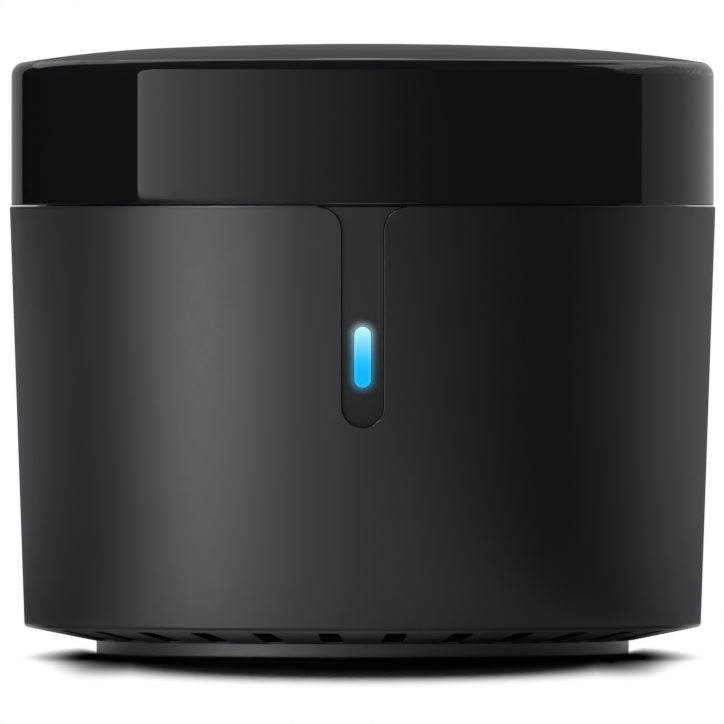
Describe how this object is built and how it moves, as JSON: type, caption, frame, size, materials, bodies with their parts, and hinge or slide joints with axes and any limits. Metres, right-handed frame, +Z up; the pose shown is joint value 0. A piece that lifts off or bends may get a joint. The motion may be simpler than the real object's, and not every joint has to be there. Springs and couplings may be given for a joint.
{
  "type": "smart ir blaster",
  "caption": "Palm-size round infrared hub: glossy domed cap on a tapered matte housing, flared front strip with a pill light, vented cone base, rear micro-USB inlet and sprung reset button.",
  "frame": {"origin": "centre of the foot pad's underside, on the surface that the hub stands on", "axes": "+Z up through the cap's dome; -Y is the front with the lit strip; +Y is the back with the power inlet"},
  "size_m": [0.046, 0.0459, 0.0399],
  "materials": {
    "cap_gloss": "polished infrared-pass plastic",
    "housing_matte": "fine spark-eroded satin",
    "strip_satin": "satin",
    "light_clear": "clear, lit from below",
    "base_matte": "satin",
    "pad_rubber": "matt",
    "screw_steel": "zinc plated",
    "board_laminate": "green solder mask",
    "connector_plastic": "moulded",
    "pin_brass": "gilt",
    "led_epoxy": "tinted epoxy",
    "receiver_epoxy": "dark epoxy",
    "chip_epoxy": "moulded epoxy",
    "socket_steel": "plated sheet",
    "button_matte": "satin",
    "plunger_plastic": "moulded",
    "module_laminate": "blue solder mask",
    "shield_steel": "tin plated sheet",
    "capacitor_can": "drawn can",
    "chip_ceramic": "sintered"
  },
  "bodies": {
    "case": {"ir_cap": "cap_gloss", "housing": "housing_matte", "front_strip": "strip_satin", "light_guide": "light_clear", "base_cover": "base_matte", "foot_pad": "pad_rubber", "case_screws": "screw_steel", "main_board": "board_laminate", "ir_board": "board_laminate", "board_screws": "screw_steel", "header_strip": "connector_plastic", "header_socket": "connector_plastic", "header_pins": "pin_brass", "led_holder": "connector_plastic", "ir_led_1": "led_epoxy", "ir_led_2": "led_epoxy", "ir_led_3": "led_epoxy", "ir_led_4": "led_epoxy", "ir_led_5": "led_epoxy", "ir_led_6": "led_epoxy", "ir_led_7": "led_epoxy", "ir_receiver": "receiver_epoxy", "led_drivers": "chip_epoxy", "led_resistors": "chip_epoxy", "status_led": "light_clear", "micro_usb_socket": "socket_steel", "usb_tongue": "connector_plastic", "reset_switch": "connector_plastic", "wifi_board": "module_laminate", "wifi_shield": "shield_steel", "bulk_capacitor": "capacitor_can", "power_inductor": "chip_epoxy", "regulator": "chip_epoxy", "flash_chip": "chip_epoxy", "crystal": "shield_steel", "chip_capacitors": "chip_ceramic"},
    "button": {"reset_button": "button_matte"},
    "plunger": {"switch_plunger": "plunger_plastic"}
  },
  "joints": [
    {"name": "reset_press", "type": "slide", "parent": "case", "child": "button", "axis": [-0.5299, -0.848, 0], "range_m": [0, 0.00025], "stiffness_N_per_m": 200},
    {"name": "plunger_press", "type": "slide", "parent": "case", "child": "plunger", "axis": [-0.5299, -0.848, 0], "range_m": [0, 0.00025]}
  ],
  "couplings": [
    {"joint": "plunger_press", "follows": "reset_press", "ratio": 1}
  ]
}
